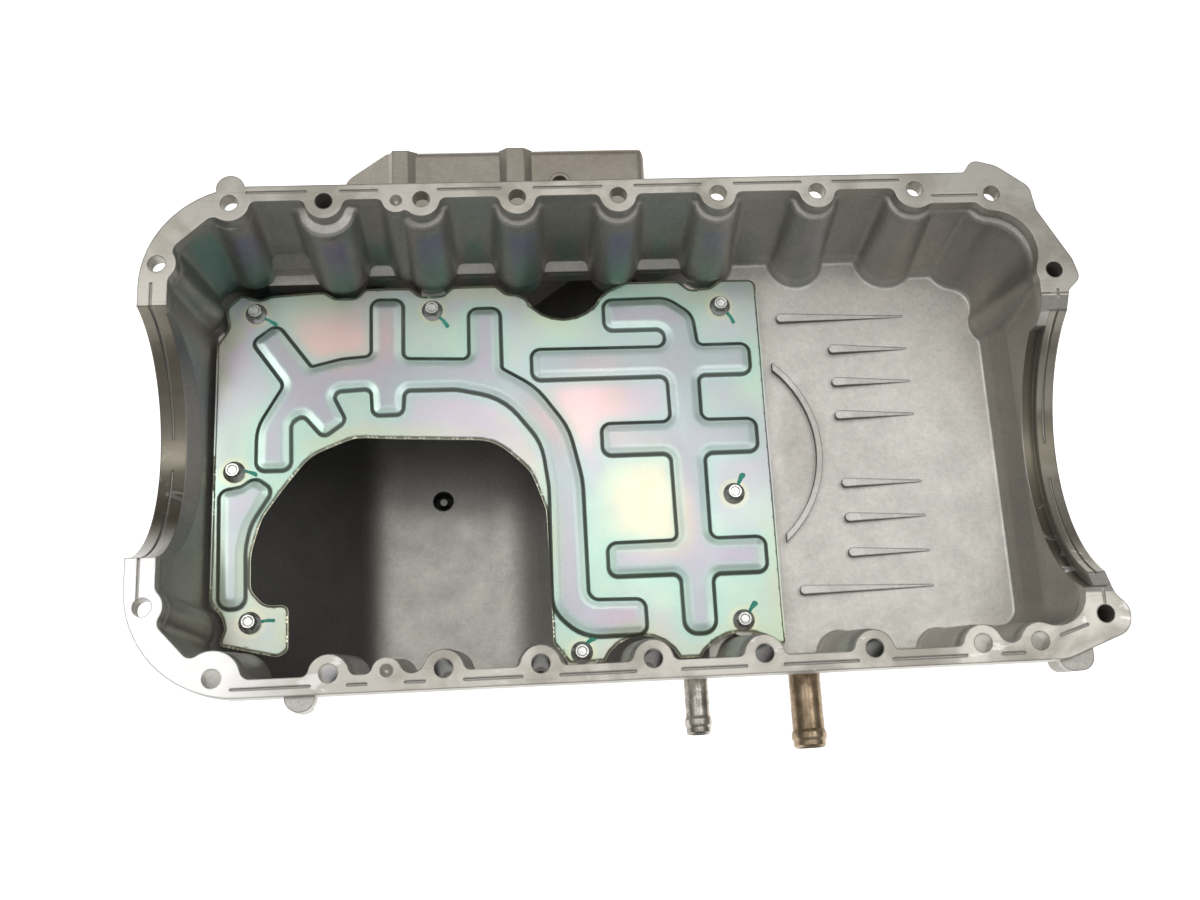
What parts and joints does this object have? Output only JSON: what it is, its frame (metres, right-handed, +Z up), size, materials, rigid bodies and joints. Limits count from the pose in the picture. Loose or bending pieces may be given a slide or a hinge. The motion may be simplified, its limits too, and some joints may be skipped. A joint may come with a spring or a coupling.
{
  "type": "engine oil pan",
  "caption": "Cast engine oil pan with a deep sump, side chamber, crank arches at both ends, bolted stamped baffle plate and hose nipples.",
  "frame": {"origin": "on the gasket face, midway between the two bolt holes beside the narrow crank arch", "axes": "+X along the pan towards the wide-arch end, +Y towards the side chamber, +Z up out of the gasket face"},
  "size_m": [0.4931, 0.346, 0.1835],
  "materials": {
    "cast_aluminium": "as-cast walls, milled gasket face",
    "zinc_plated_sheet": "satin zinc plate with a rainbow passivate",
    "bright_plated_pipe": "bright zinc",
    "yellow_plated_pipe": "yellow zinc",
    "plug_steel": "zinc plated",
    "washer_copper": "plain copper",
    "bolt_steel": "bright zinc with a green paint mark"
  },
  "bodies": {
    "root": {"pan_casting": "cast_aluminium", "baffle_plate": "zinc_plated_sheet", "hose_nipple_small": "bright_plated_pipe", "hose_nipple_large": "yellow_plated_pipe", "drain_plug": "plug_steel", "drain_washer": "washer_copper", "baffle_bolt_corner_far_left": "bolt_steel", "baffle_bolt_far_middle": "bolt_steel", "baffle_bolt_corner_far_right": "bolt_steel", "baffle_bolt_left_middle": "bolt_steel", "baffle_bolt_right_middle": "bolt_steel", "baffle_bolt_corner_near_left": "bolt_steel", "baffle_bolt_corner_near_right": "bolt_steel", "baffle_bolt_near_middle": "bolt_steel"}
  },
  "joints": []
}
